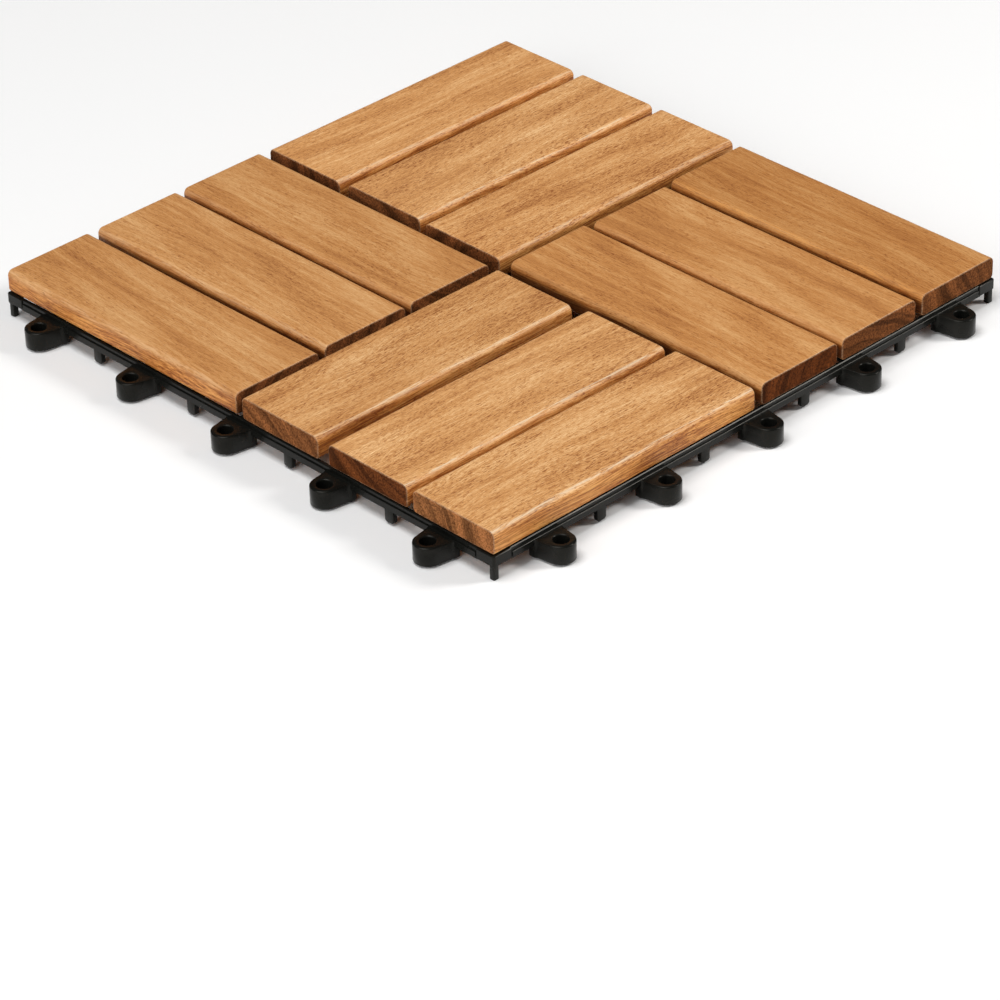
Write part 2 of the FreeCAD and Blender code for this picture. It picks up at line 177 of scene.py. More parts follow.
def circle(centre, radius, sides):
    """Points evenly round a circle."""
    return arc(centre, radius, 0, 360 - 360 / sides, sides - 1)


def bridge(mesh, rings, close=False):
    """Joins rings of vertices with the same count by quads."""
    pairs = list(zip(rings, rings[1:]))
    if close:
        pairs.append((rings[-1], rings[0]))
    for lower, upper in pairs:
        count = len(lower)
        for i in range(count):
            j = (i + 1) % count
            mesh.faces.new((lower[i], lower[j], upper[j], upper[i]))


def divided(outline, step):
    """Adds points to the longer straight stretches of a closed outline."""
    points = []
    for here, there in zip(outline, outline[1:] + outline[:1]):
        count = max(1, round(math.dist(here, there) / step))
        points += [tuple(Vector(here).lerp(Vector(there), i / count)) for i in range(count)]
    return points


def inset(outline, amount):
    """Moves each point of a counter-clockwise outline inwards."""
    moved = []
    for i, point in enumerate(outline):
        here = Vector(point)
        before = (here - Vector(outline[i - 1])).normalized()
        after = (Vector(outline[(i + 1) % len(outline)]) - here).normalized()
        along = (before + after).normalized()
        moved.append(here + Vector((-along.y, along.x)) * amount)
    return moved


def make_rail(material):
    """The square rail: lip, ledge with a short groove at each end, and flush corner blocks."""
    mesh = bmesh.new()
    inside = HALF - RAIL_WALL
    end = HALF - CORNER_BLOCK
    round_centre = HALF - CORNER_ROUND
    corner = [(end, -HALF), *arc((round_centre, -round_centre), CORNER_ROUND, -90, 0, 6), (HALF, -end)]
    corner += [(inside, -end), (inside, -inside), (end, -inside)]
    lip = -HALF + LIP_SETBACK
    for side, turn in enumerate(QUARTER_TURNS):
        add_prism(mesh, corner, GRID_BOTTOM, LIP_HEIGHT, CORNER_EASE, turn, segments=1)
        left, right = -end - OVERLAP, end + OVERLAP
        low = LEDGE_HEIGHT - 2 * OVERLAP
        add_block(mesh, left, right, lip, -inside, low, LIP_HEIGHT, LIP_EASE, turn, 1)

        # The ledge stops short of the corner blocks, and at the sockets on the two hidden sides
        stops = [-end + GROOVE]
        if side in (2, 3):
            for place in SIDE_PLACES:
                stops += [place - SOCKET_HALF, place + SOCKET_HALF]
        stops.append(end - GROOVE)
        for left, right in zip(stops[::2], stops[1::2]):
            add_block(mesh, left, right, -HALF, -inside, GRID_BOTTOM, LEDGE_HEIGHT, LEDGE_EASE, turn, 1)
        for left in (-end - OVERLAP, end - GROOVE - OVERLAP):
            right = left + GROOVE + 2 * OVERLAP
            front = -HALF + GROOVE_SETBACK
            add_block(mesh, left, right, lip, -inside, GRID_BOTTOM, LEDGE_HEIGHT, 0, turn)
            add_block(mesh, left, right, front, lip + OVERLAP, GRID_BOTTOM, GROOVE_FLOOR, 0, turn)
    return make_piece("grid_rail", mesh, material, 30)


def make_ribs(material):
    """The lattice of ribs inside the rail."""
    mesh = bmesh.new()
    side = RIB_WALL / 2
    far = HALF - RAIL_WALL + OVERLAP
    short = HALF - SOCKET_DEPTH - SOCKET_WALL / 2
    for turn in (0, 90):
        for place in SIDE_PLACES:
            add_block(mesh, place - side, place + side, -far, short, GRID_BOTTOM, LIP_HEIGHT, RIB_EASE, turn)
        for place in TAB_PLACES:
            add_block(mesh, place - side, place + side, -far, far, GRID_BOTTOM, LIP_HEIGHT, RIB_EASE, turn)
    return make_piece("grid_ribs", mesh, material)


def make_sockets(material):
    """The sockets on the two hidden sides, each with its pin."""
    mesh = bmesh.new()
    outer = SOCKET_HALF + SOCKET_WALL
    back = HALF - SOCKET_DEPTH - SOCKET_WALL
    wall = back + SOCKET_WALL
    front = HALF - RAIL_WALL / 2
    low, high = GRID_BOTTOM, LIP_HEIGHT
    for turn in (0, 90):
        for place in SIDE_PLACES:
            left, right = place - outer, place + outer
            add_block(mesh, left, right, back, front, SOCKET_CEILING, high, RIB_EASE, turn)
            for edge in (left, place + SOCKET_HALF):
                add_block(mesh, edge, edge + SOCKET_WALL, back, front, low, high, RIB_EASE, turn)
            add_block(mesh, left, right, back, wall, low, high, RIB_EASE, turn)
            pin = circle((place, HALF - LOOP_REACH), PIN_RADIUS, PIN_SIDES)
            add_prism(mesh, pin, PIN_LOW, PIN_TOP, PIN_EASE, turn, sharp=60)
    return make_piece("grid_sockets", mesh, material)


def loop_outline():
    """A loop's outline in its own frame: across the side, and out from the rail's face."""
    shoulder = math.atan2(-LOOP_REACH, LOOP_ROOT_HALF)
    distance = math.hypot(LOOP_ROOT_HALF, LOOP_REACH)
    turn = math.degrees(shoulder + math.acos(LOOP_TIP_RADIUS / distance))
    foot = LOOP_ROOT_HALF + 0.8
    right = [(foot, -RAIL_WALL - OVERLAP), (foot, -0.3)]
    root = [(LOOP_ROOT_HALF + 0.35, 0.35), (LOOP_ROOT_HALF + 0.05, 1.2)]
    tip = arc((0, LOOP_REACH), LOOP_TIP_RADIUS, turn, 180 - turn, 34)
    left = [(-x, y) for x, y in reversed(right + root)]
    return right + root + tip + left


def make_loops(material):
    """Loops on two sides, with soft rims and an eased hole."""
    mesh = bmesh.new()
    outline = divided(loop_outline(), 0.9)

    # Heights, with how far the outline is drawn in and the hole opened out at each
    steps = (
        (LOOP_LOW, 0.45), (LOOP_LOW + 0.15, 0.15), (LOOP_LOW + 0.45, 0.0),
        (LOOP_TOP - 0.6, 0.0), (LOOP_TOP - 0.3, 0.08), (LOOP_TOP - 0.1, 0.25), (LOOP_TOP, 0.55),
    )
    hole_steps = (
        (LOOP_TOP, 0.55), (LOOP_TOP - 0.12, 0.25), (LOOP_TOP - 0.4, 0.06), (LOOP_TOP - 0.8, 0.0),
        (LOOP_LOW + 0.5, 0.0), (LOOP_LOW, 0.4),
    )
    angles = [math.atan2(y - LOOP_REACH, x) for x, y in outline]
    centre = -HALF - LOOP_REACH
    for turn in (0, 90):
        for place in SIDE_PLACES:
            rings = []
            for height, amount in steps:
                points = inset(outline, amount)
                rings.append(add_ring(mesh, turn, [(place + x, -HALF - y, height) for x, y in points]))
            for height, amount in hole_steps:
                radius = LOOP_HOLE_RADIUS + amount
                points = [(radius * math.cos(angle), radius * math.sin(angle)) for angle in angles]
                rings.append(add_ring(mesh, turn, [(place + x, centre - y, height) for x, y in points]))
            bridge(mesh, rings, close=True)
    return make_piece("grid_loops", mesh, material)


def make_tabs(material):
    """Short tabs under the rail, and a slim leg under each corner."""
    mesh = bmesh.new()
    profile = [(-TAB_HALF, LEDGE_HEIGHT - OVERLAP), (-TAB_HALF, TAB_LOW + TAB_CUT)]
    profile.append((-TAB_HALF + TAB_CUT, TAB_LOW))
    profile += [(-x, z) for x, z in reversed(profile)]
    for turn in QUARTER_TURNS:
        for place in TAB_PLACES:
            rings = []
            for depth in (-HALF + TAB_SETBACK, -HALF + TAB_DEPTH):
                rings.append(add_ring(mesh, turn, [(place + x, depth, z) for x, z in profile]))
            faces = [mesh.faces.new(rings[0]), mesh.faces.new(list(reversed(rings[1])))]
            for i in range(len(profile)):
                j = (i + 1) % len(profile)
                faces.append(mesh.faces.new((rings[0][j], rings[0][i], rings[1][i], rings[1][j])))
            edges = edges_of(faces)
            bmesh.ops.bevel(mesh, geom=edges, offset=TAB_EASE, segments=2, profile=0.6, affect="EDGES")
        far = HALF - LEG_SETBACK
        near = far - LEG_WIDTH
        add_block(mesh, near, far, near, far, 0, LEDGE_HEIGHT, LEG_EASE, turn)
    return make_piece("grid_tabs", mesh, material)


def make_bosses(material):
    """Round bosses that the screws pass through."""
    mesh = bmesh.new()

    # Heights and radii, up the outside and back down the hole
    steps = (
        (GRID_BOTTOM, BOSS_RADIUS - 0.3), (GRID_BOTTOM + 0.3, BOSS_RADIUS), (SEAT_HEIGHT - 0.2, BOSS_RADIUS),
        (SEAT_HEIGHT, BOSS_RADIUS - 0.2), (SEAT_HEIGHT, SCREW_HOLE_RADIUS), (GRID_BOTTOM, SCREW_HOLE_RADIUS),
    )
    for turn, x, y in product(QUARTER_TURNS, SCREW_PLACES, SLAT_LINES):
        rings = []
        for height, radius in steps:
            points = circle((x, y), radius, BOSS_SIDES)
            rings.append(add_ring(mesh, turn, [(*point, height) for point in points]))
        bridge(mesh, rings, close=True)
    return make_piece("grid_bosses", mesh, material)


def make_feet(material):
    """Blade feet under the ribs, with a crossed one in the middle."""
    mesh = bmesh.new()
    side = RIB_WALL / 2
    for turn, x, y in product(QUARTER_TURNS, FOOT_PLACES, FOOT_PLACES):
        add_block(mesh, x - FOOT_HALF, x + FOOT_HALF, y - side, y + side, 0, FOOT_TOP, FOOT_EASE, turn)
    for turn in (0, 90):
        add_block(mesh, -HUB_HALF, HUB_HALF, -side, side, 0, FOOT_TOP, FOOT_EASE, turn)
    return make_piece("grid_feet", mesh, material)


def make_screws(material):
    """Pan-head screws with a crossed recess, seen from below."""
    mesh = bmesh.new()
    head_low = GRID_BOTTOM - SCREW_HEAD_HEIGHT

    # Heights and radii: the recess, the head and the shank
    profile = (
        (head_low + 1.1, 0.25), (head_low + 1.1, 0.9), (head_low + 0.1, 1.15), (head_low + 0.03, 1.35),
        (head_low + 0.25, 2.2), (head_low + 0.8, 2.9), (head_low + 1.5, 3.25),
        (GRID_BOTTOM - 0.15, 3.3), (GRID_BOTTOM, 3.1), (GRID_BOTTOM, 1.5), (GRID_BOTTOM + 10.5, 1.5),
        (GRID_BOTTOM + 13.4, 0.3),
    )
    for turn, x, y in product(QUARTER_TURNS, SCREW_PLACES, SLAT_LINES):
        rings = []
        for step, (height, radius) in enumerate(profile):
            points = []
            for spoke in range(SCREW_SIDES):
                angle = 2 * math.pi * spoke / SCREW_SIDES
                reach = radius
                if step in (1, 2):
                    # The recess is a cross: wide on its four arms, narrow between
                    reach *= 0.62 + abs(math.cos(2 * angle)) ** 3
                points.append((x + reach * math.cos(angle), y + reach * math.sin(angle), height))
            rings.append(add_ring(mesh, turn, points))
        bridge(mesh, rings)
        mesh.faces.new(rings[0])
        mesh.faces.new(list(reversed(rings[-1])))
    return make_piece("wood_screws", mesh, material)


def slat_profile(wide, thick, top_rounds, bottom_round, cut):
    """Cross-section of a slat, all of it inset by the cut: across and up from its middle."""
    across, up = wide / 2, thick / 2
    corners = (
        (across, -up, bottom_round, -90),
        (across, up, top_rounds[0], 0),
        (-across, up, top_rounds[1], 90),
        (-across, -up, bottom_round, 180),
    )
    points = []
    for x, y, radius, start in corners:
        centre = (x - math.copysign(radius, x), y - math.copysign(radius, y))
        points.append(arc(centre, max(radius - cut, 0.05), start, start + 90, 8))

    # How many steps there are on each straight stretch: side, top, side and bottom
    flats = (4, 16, 4, 10)
    ring = []
    for index, corner in enumerate(points):
        ring += corner
        here, there = Vector(corner[-1]), Vector(points[(index + 1) % 4][0])
        for step in range(1, flats[index]):
            ring.append(tuple(here.lerp(there, step / flats[index])))
    return ring


# The slats' edges and hollows, the steps along them, and how far apart their trees lay
SLAT_EASE = 0.7
END_MARGIN = 0.8
TOP_ROUND = 2.7
BOTTOM_ROUND = 1.8
TOP_HOLLOW = 0.16
SIDE_HOLLOW = 0.1
SLAT_STEPS = 90
LOG_SPACING = 310.0

# Where the sawn end begins on the eased edge, which counts from nought to one
END_GRAIN_FROM = 0.55

# How unevenly the far round was cut, and how fast both rounds waver along a slat, per millimetre:
# slowly, and in ripples of about a third of the size
FAR_UNEVEN = 0.25
SLOW_WAVER = 0.03
QUICK_WAVER = 0.16
RIPPLE_SHARE = 0.35

# Painted shade darkens the sides in the gaps from this depth on, over this distance
PAINTED_SHADE_START = 2.9
PAINTED_SHADE_SPREAD = 1.7

# For slats along X and along Y: where the near round is worn most, with a painted highlight, and how
# far on either side, in degrees; how deep the colour of the sides, partly painted shade, starts; and
# how much painted shade darkens the sides in the gaps and on the tile's own side. Light from the
# right gets into the gaps that run away from it, but hardly into the others, which get more painted shade.
ALONG_X = (42, 42, 1.1, 1.0, 0.0)
ALONG_Y = (62, 22, 0.0, 0.25, 0.1)

# How each slat was cut and finished: where the middle of its tree lay, across and below, in
# millimetres; how far its grain runs askew, in degrees; its brightness, warmth and figure; how pale
# its sawn end is; and how unevenly its near edge was rounded, in millimetres, and how far it is worn,
# with a painted highlight
SLATS = {
    "ne_inner": ((70, -40), 0.8, (1.02, 0.68, 0.15), 0.09, 0.25, 0.15),
    "ne_middle": ((-30, -75), -1.0, (1.01, 0.68, 0.15), 0.36, 0.25, 0.4),
    "ne_outer": ((85, 25), 0.6, (0.91, 0.86, 0.15), 0.4, 0.25, 0.6),
    "nw_inner": ((-60, -60), 1.2, (1.2, 0.38, 1.0), 0.4, 0.6, 0.8),
    "nw_middle": ((45, -85), -0.7, (1.27, 0.2, 0.9), 0.5, 0.6, 0.8),
    "nw_outer": ((-90, 20), 0.9, (1.24, 0.36, 0.75), 0.4, 0.5, 0.8),
    "sw_inner": ((55, 60), -1.1, (1.02, 0.58, 0.2), 0.4, 0.25, 0.4),
    "sw_middle": ((-75, 35), 0.7, (1.06, 0.48, 0.2), 0.5, 0.25, 0.45),
    "sw_outer": ((65, -55), 1.0, (1.03, 0.52, 0.15), 0.5, 0.25, 0.5),
    "se_inner": ((40, -45), -0.8, (1.14, 0.31, 1.0), 0.54, 1.1, 1),
    "se_middle": ((-50, 70), 0.9, (1.22, 0.2, 0.9), 0.16, 0.6, 0.9),
    "se_outer": ((80, -30), 0.7, (1.2, 0.25, 1.0), 0.92, 0.5, 1),
}


def clamped(value):
    """A value kept between nought and one."""
    return min(1.0, max(0.0, value))


def slat_rows(length):
    """Places along a slat, each with how far the section is drawn in and how much it is of the end."""
    # From the end cap inwards: a flat margin first, then the eased edge
    ends = [(length / 2, SLAT_EASE + END_MARGIN, 1.0)]
    for share in (1, 0.75, 0.5, 0.25, 0):
        angle = math.pi / 2 * share
        place = length / 2 - SLAT_EASE * (1 - math.sin(angle))
        ends.append((place, SLAT_EASE * (1 - math.cos(angle)), 0.2 + 0.8 * share))
    reach = length / 2 - SLAT_EASE
    rows = [(-x, cut, end) for x, cut, end in ends]
    rows += [(-reach + 2 * reach * i / SLAT_STEPS, 0.0, 0.0) for i in range(1, SLAT_STEPS)]
    return rows + ends[::-1]


def wavering_rounds(x, seed, uneven):
    """Radii of a slat's far and near top rounds at a place along it."""
    rounds = []
    for hand, amount in ((0, FAR_UNEVEN), (1, uneven)):
        slow = noise.noise(Vector((x * SLOW_WAVER, seed * 7.3, hand * 11.0)))
        quick = noise.noise(Vector((x * QUICK_WAVER, seed * 3.1, hand * 17.0)))
        rounds.append(TOP_ROUND + amount * (slow + RIPPLE_SHARE * quick))
    return rounds


def make_slat(label, facts, seed, faces_material, ends_material):
    """One slat with rounded long edges, eased ends and its own cut of the tree."""
    pith, askew, tone, end_tone, uneven, wear_and_highlight = facts
    low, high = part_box(f"slat_{label}")
    size = (high - low) / MM
    middle = (high + low) / 2
    along_x = size.x > size.y
    length, wide, thick = (size.x if along_x else size.y), (size.y if along_x else size.x), size.z
    mesh = bmesh.new()
    log_layer = mesh.verts.layers.float_vector.new("log")
    tone_layer = mesh.verts.layers.float_vector.new("tone")
    end_and_side_layer = mesh.verts.layers.float_vector.new("end_and_side")
    wear_highlight_and_shade_layer = mesh.verts.layers.float_vector.new("wear_highlight_and_shade")
    outwards = middle.y if along_x else -middle.x
    wear_and_highlight_lean, wear_and_highlight_spread, side_start, gap_shade, own_side_shade = ALONG_X if along_x else ALONG_Y
    middle_of_tree = Vector((seed * LOG_SPACING, *pith))
    slant = Matrix.Rotation(math.radians(askew), 3, "Z") @ Matrix.Rotation(math.radians(askew * 0.7), 3, "Y")
    rings = []
    for x, cut, end in slat_rows(length):
        rounds = wavering_rounds(x, seed, uneven)
        ring = []
        for y, z in slat_profile(wide, thick, rounds, BOTTOM_ROUND, cut):
            # The top and the sides are slightly hollow here and there
            dip = 0.5 + 0.5 * noise.noise(Vector((x * SLOW_WAVER, y * 0.12, z * 0.3 + seed * 5.1)))
            scale = 1 - TOP_HOLLOW * dip / thick
            vert = mesh.verts.new((x, y * (1 - SIDE_HOLLOW * dip / wide), z * scale if z > 0 else z))
            depth = thick / 2 - z
            # How far down the side a point is; the sides' colour, partly painted shade, follows it
            side = clamped((depth - side_start) / TOP_ROUND)
            vert[log_layer] = (slant @ Vector((x, y, z)) - middle_of_tree) * MM
            vert[tone_layer] = Vector(tone)
            vert[end_and_side_layer] = Vector((end, side, end_tone))

            # The near edge is worn, with a painted highlight, where its round faces up and outwards
            rise = 1 - depth / rounds[1]
            lean = math.degrees(math.asin(min(1.0, rise))) if y < rounds[1] - wide / 2 and rise > 0 else 0
            edge = wear_and_highlight * max(0.0, 1 - abs(lean - wear_and_highlight_lean) / wear_and_highlight_spread)

            # Painted shade darkens the sides down in the gaps, but not round the bottom edges
            painted_shade = own_side_shade if label.endswith("outer") and y * outwards > 0 else gap_shade
            painted_shade *= clamped((depth - PAINTED_SHADE_START) / PAINTED_SHADE_SPREAD)
            painted_shade *= clamped((thick - depth) / BOTTOM_ROUND)
            vert[wear_highlight_and_shade_layer] = Vector((edge, painted_shade, 0))
            ring.append(vert)
        rings.append(ring)
    bridge(mesh, rings)
    mesh.faces.new(list(reversed(rings[0])))
    mesh.faces.new(rings[-1])

    # The end caps and the outer half of the eased edges show end grain
    for face in mesh.faces:
        if min(vert[end_and_side_layer].x for vert in face.verts) > END_GRAIN_FROM:
            face.material_index = 1
    mesh.transform(Matrix.Translation(middle / MM) @ turned(0 if along_x else 90))
    piece = make_piece(f"wood_{label}", mesh, faces_material, 50)
    piece.data.materials.append(ends_material)
    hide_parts(f"slat_{label}")
    return piece


# Layers of the wood: features to the metre along and across the grain, detail and roughness
RIBBON = (14.0, 62.0, 3.0, 0.5)
FIBRE = (45.0, 1500.0, 3.0, 0.65)
STROKES = (300.0, 3400.0, 3.0, 0.65)
MOTTLE = (560.0, 2300.0, 3.0, 0.7)
PORE_ROOM = (20.0, 110.0, 3.0, 0.55)
PORES = (400.0, 2700.0, 2.0, 0.55)
# Streaks of the worn edges, which also paint a highlight
WORN_HIGHLIGHT_STREAKS = (50.0, 1500.0, 3.0, 0.65)
SAW_SPECKLE = (500.0, 1300.0, 3.0, 0.75)
RIBBON_SLANT = 0.14
TOP_RINGS = 300.0
END_RINGS = 150.0

# The drift of the grain: features to the metre, and how far it moves a point, in metres
DRIFT_SCALE = (7.0, 24.0, 24.0)
DRIFT_REACH = (0.0, 0.016, 0.016)

# The range in which nearly all of a noise lies
NOISE_REACH = (0.33, 0.67)
RINGS_REACH = (0.3, 0.7)

# Ranges of a value, and the values that their ends become
PORE_THRESHOLD = (*NOISE_REACH, 0.65, 0.55)
PORE_EDGE = (0.0, 0.07)
# The worn edges' streaks, which also paint a highlight
WORN_HIGHLIGHT_PARTS = (0.46, 0.54, 0.05, 1.0)
SPECKLE_SHADE = (0.36, 0.64, 0.4, 1.65)
END_RINGS_SHADE = (0.1, 0.9, 0.58, 1.48)
# Torn fibres at the rim, with a painted glint
TORN_GLINT_PARTS = (0.48, 0.58, 0.35, 1.0)

# How far the torn fibres and their painted glint cover the colour under them
TORN_GLINT_SHARE = 0.5

# How much each layer adds to the shade of a point, here on a plain top
MIDDLE_SHADE = 0.52
RIBBON_SHARE = 0.22
RINGS_SHARE = 0.14
FIBRE_SHARE = 0.2
STROKES_SHARE = 0.14
PORES_SHARE = -0.24
CONTRAST = 1.2

# How much more they add where a slat is figured, and on its sides
STROKES_IN_FIGURE = 0.12
MOTTLE_IN_FIGURE = 0.2
PORES_IN_FIGURE = -0.1
FIBRE_ON_SIDES = 0.38
CONTRAST_ON_SIDES = 0.6
FIGURE_ON_SIDES = -0.8
THRESHOLD_IN_FIGURE = -0.045

# Roughness of an oiled top, and what is added to it
OILED = 0.29
ROUGHER_STROKES = 0.1
ROUGHER_SIDES = 0.25
ROUGHER_WHERE_WORN = 0.4
ROUGHER_PORES = 0.12

# Relief of each surface: its strength, and its height in metres
WOOD_RELIEF = (0.2, 0.00012)
END_RELIEF = (0.7, 0.0002)
PLASTIC_RELIEF = (0.12, 0.0001)

# Colours of the wood, and casts that multiply them
DARK_WOOD = (0.24, 0.068, 0.015, 1)
MIDDLE_WOOD = (0.56, 0.245, 0.074, 1)
PALE_WOOD = (0.84, 0.5, 0.22, 1)
NO_CAST = (1.0, 1.0, 1.0, 1)
COOL_CAST = (1.0, 1.17, 1.45, 1)
WARM_CAST = (1.0, 0.92, 0.78, 1)
# The sides' colour, partly their own and partly painted shade
SIDE_TONE_AND_SHADE = (0.92, 0.69, 0.39, 1)
# Painted shade for the sides down in the gaps
PAINTED_SHADE_CAST = (0.2, 0.15, 0.12, 1)
# Worn edges, paler, which also paints a highlight on them
COOL_WORN_HIGHLIGHT = (0.85, 0.78, 0.59, 1)
WARM_WORN_HIGHLIGHT = (0.88, 0.34, 0.02, 1)
DARK_END = (0.08, 0.018, 0.003, 1)
PALE_END = (0.27, 0.105, 0.036, 1)
# Torn fibres, paler, with a painted glint
TORN_FIBRE_GLINT = (0.62, 0.38, 0.22, 1)

# Colours of the other materials
DARK_PLASTIC = (0.005, 0.0052, 0.0044, 1)
PALE_PLASTIC = (0.009, 0.0092, 0.0078, 1)
DARK_STEEL = (0.42, 0.41, 0.38, 1)
PALE_STEEL = (0.66, 0.66, 0.64, 1)
PALE_FLOOR = (0.99, 0.99, 0.99, 1)
WOOD_SHINE = (1.0, 0.94, 0.8, 1)
PLASTIC_SHINE = (1.0, 0.96, 0.87, 1)


def new_material(name):
    """A material with only a shader and its output, and a function that adds nodes to it."""
    material = bpy.data.materials.new(name)
    material.use_nodes = True
    tree = material.node_tree
    shader = tree.nodes["Principled BSDF"]

    def add(kind, inputs=None, **settings):
        item = tree.nodes.new(kind)
        for key, value in settings.items():
            setattr(item, key, value)
        for key, value in (inputs or {}).items():
            if isinstance(value, bpy.types.NodeSocket):
                tree.links.new(value, item.inputs[key])
            else:
                item.inputs[key].default_value = value
        return item

    return material, shader, add, tree.links.new


def vector_maths(add, operation, first, second):
    """One step of arithmetic on a place."""
    return add("ShaderNodeVectorMath", {0: first, 1: second}, operation=operation).outputs[0]


def stretched_noise(add, vector, layer):
    """Noise drawn out along the grain."""
    along, across, detail, roughness = layer
    scaled = vector_maths(add, "MULTIPLY", vector, (along, across, across))
    inputs = {"Vector": scaled, "Scale": 1.0, "Detail": detail, "Roughness": roughness}
    return add("ShaderNodeTexNoise", inputs, noise_dimensions="3D").outputs["Fac"]


def spread(add, value, low, high, bottom=0.0, top=1.0):
    """Maps a range of values to another."""
    inputs = {"Value": value, "From Min": low, "From Max": high, "To Min": bottom, "To Max": top}
    return add("ShaderNodeMapRange", inputs, clamp=True).outputs[0]


def figure_noise(add, grain, layer):
    """Stretched noise about nought, from minus a half to a half."""
    return spread(add, stretched_noise(add, grain, layer), *NOISE_REACH, -0.5, 0.5)


def maths(add, operation, first, second):
    """One step of arithmetic."""
    return add("ShaderNodeMath", {0: first, 1: second}, operation=operation).outputs[0]


def times(add, first, second):
    """One value times another."""
    return maths(add, "MULTIPLY", first, second)


def plus(add, value, factor, rest):
    """A value times a factor, plus the rest."""
    return add("ShaderNodeMath", {0: value, 1: factor, 2: rest}, operation="MULTIPLY_ADD").outputs[0]


def mix(add, factor, first, second, mode="MIX"):
    """Mixes two colours, which the node takes as its inputs 6 and 7."""
    inputs = {0: factor, 6: first, 7: second}
    return add("ShaderNodeMix", inputs, data_type="RGBA", blend_type=mode).outputs[2]


def tinted(add, colour, cast):
    """A colour times a cast."""
    return mix(add, 1.0, colour, cast, "MULTIPLY")


def shaded(add, colour, value):
    """A colour times a grey value."""
    return tinted(add, colour, add("ShaderNodeCombineXYZ", {0: value, 1: value, 2: value}).outputs[0])


def colour_scale(add, value, *stops):
    """A scale of colours between stops, each a place and a colour."""
    ramp = add("ShaderNodeValToRGB", {0: value})
    elements = ramp.color_ramp.elements
    elements[0].position, elements[0].color = stops[0]
    elements[1].position, elements[1].color = stops[-1]
    for place, colour in stops[1:-1]:
        elements.new(place).color = colour
    return ramp.outputs[0]


def add_relief(add, link, shader, height, relief):
    """Gives the surface a fine relief."""
    inputs = {"Height": height, "Strength": relief[0], "Distance": relief[1]}
    link(add("ShaderNodeBump", inputs).outputs[0], shader.inputs["Normal"])


def vertex_vector(add, name):
    """A vertex attribute as one vector."""
    return add("ShaderNodeAttribute", attribute_name=name).outputs["Vector"]


def vertex_numbers(add, name):
    """A vertex attribute as three numbers."""
    parts = add("ShaderNodeSeparateXYZ", {0: vertex_vector(add, name)})
    return [parts.outputs[i] for i in range(3)]


def wandering_grain(add):
    """Where a point lay in its tree, with and without a slow drift of the grain."""
    log = vertex_vector(add, "log")
    slow = vector_maths(add, "MULTIPLY", log, DRIFT_SCALE)
    drift = add("ShaderNodeTexNoise", {"Vector": slow, "Scale": 1.0, "Detail": 2.0}).outputs["Color"]
    drift = vector_maths(add, "SUBTRACT", drift, (0.5, 0.5, 0.5))
    drift = vector_maths(add, "MULTIPLY", drift, DRIFT_REACH)
    return log, vector_maths(add, "ADD", log, drift)


def growth_rings(add, grain, per_metre):
    """Uneven growth rings about the middle of the tree."""
    parts = add("ShaderNodeSeparateXYZ", {0: grain})
    flat = add("ShaderNodeCombineXYZ", {1: parts.outputs[1], 2: parts.outputs[2]}).outputs[0]
    reach = add("ShaderNodeVectorMath", {0: flat}, operation="LENGTH").outputs["Value"]
    inputs = {"W": reach, "Scale": per_metre, "Detail": 3.0, "Roughness": 0.6}
    rings = add("ShaderNodeTexNoise", inputs, noise_dimensions="1D").outputs["Fac"]
    return spread(add, rings, *RINGS_REACH)


def sawn_colour(add, log, grain, end_tone):
    """Colour of the end grain: dark, speckled with cut fibres, with broad curved rings."""
    speckle = stretched_noise(add, log, SAW_SPECKLE)
    rings = growth_rings(add, grain, END_RINGS)
    base = mix(add, end_tone, DARK_END, PALE_END)
    base = shaded(add, base, spread(add, speckle, *SPECKLE_SHADE))
    base = shaded(add, base, spread(add, rings, *END_RINGS_SHADE))
    return base, speckle


def torn_rim_glint(add, rim, speckle, base):
    """Torn fibres where a face meets the sawn end, paler and with a painted glint."""
    torn_glint = times(add, rim, spread(add, speckle, *TORN_GLINT_PARTS))
    return mix(add, times(add, torn_glint, TORN_GLINT_SHARE), base, TORN_FIBRE_GLINT)


